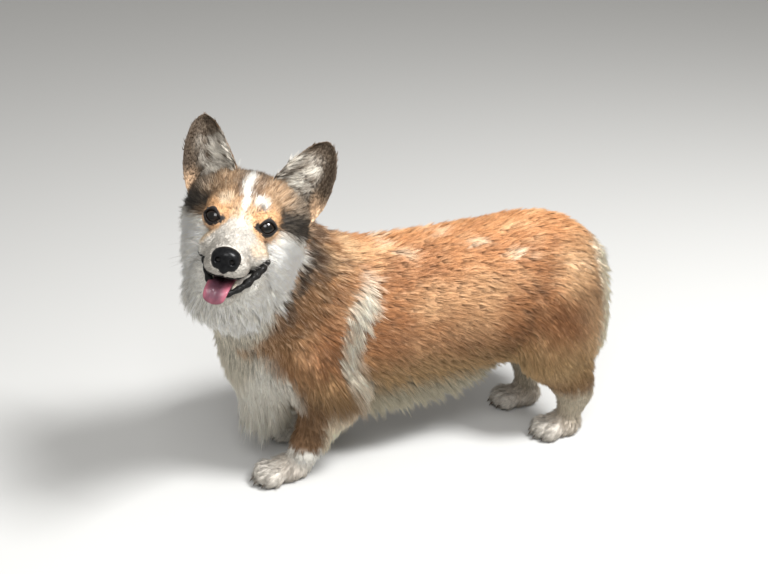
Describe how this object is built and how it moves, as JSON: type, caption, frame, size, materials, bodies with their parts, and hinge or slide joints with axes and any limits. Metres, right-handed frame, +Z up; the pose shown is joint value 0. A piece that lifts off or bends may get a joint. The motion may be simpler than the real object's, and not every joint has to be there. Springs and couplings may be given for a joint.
{
  "type": "pembroke welsh corgi",
  "caption": "Life-size still model of a standing Welsh corgi, head turned to its left, ears up and mouth open, parted at head, neck, torso, legs and paws.",
  "frame": {"origin": "on the floor, below the middle of the whole dog", "axes": "+Z up; the dog faces -Y and its left side is +X"},
  "size_m": [0.3274, 0.5728, 0.4698],
  "materials": {
    "coat_red": "dense orange-red fur, matt, paler at the tips",
    "coat_sable": "grizzled brown and black-tipped fur, matt",
    "coat_white": "white to cream fur, matt",
    "ear_coat": "short dark brown fur, matt",
    "nose_leather": "damp black leathery skin, pebbled",
    "eye_dark": "wet dark brown eye",
    "tongue_pink": "moist pink skin",
    "claw_horn": "dark horn"
  },
  "bodies": {
    "root": {"head": "coat_sable", "lower_jaw": "coat_white", "tongue": "tongue_pink", "nose": "nose_leather", "left_eye": "eye_dark", "left_ear": "ear_coat", "right_eye": "eye_dark", "right_ear": "ear_coat", "neck": "coat_sable", "torso": "coat_red", "tail": "coat_red", "left_upper_arm": "coat_red", "left_forearm": "coat_red", "left_fore_paw": "coat_white", "left_fore_claw_1": "claw_horn", "left_fore_claw_2": "claw_horn", "left_fore_claw_3": "claw_horn", "left_fore_claw_4": "claw_horn", "left_thigh": "coat_red", "left_hock": "coat_red", "left_hind_paw": "coat_white", "left_hind_claw_1": "claw_horn", "left_hind_claw_2": "claw_horn", "left_hind_claw_3": "claw_horn", "left_hind_claw_4": "claw_horn", "right_upper_arm": "coat_red", "right_forearm": "coat_red", "right_fore_paw": "coat_white", "right_fore_claw_1": "claw_horn", "right_fore_claw_2": "claw_horn", "right_fore_claw_3": "claw_horn", "right_fore_claw_4": "claw_horn", "right_thigh": "coat_red", "right_hock": "coat_red", "right_hind_paw": "coat_white", "right_hind_claw_1": "claw_horn", "right_hind_claw_2": "claw_horn", "right_hind_claw_3": "claw_horn", "right_hind_claw_4": "claw_horn"}
  },
  "joints": []
}
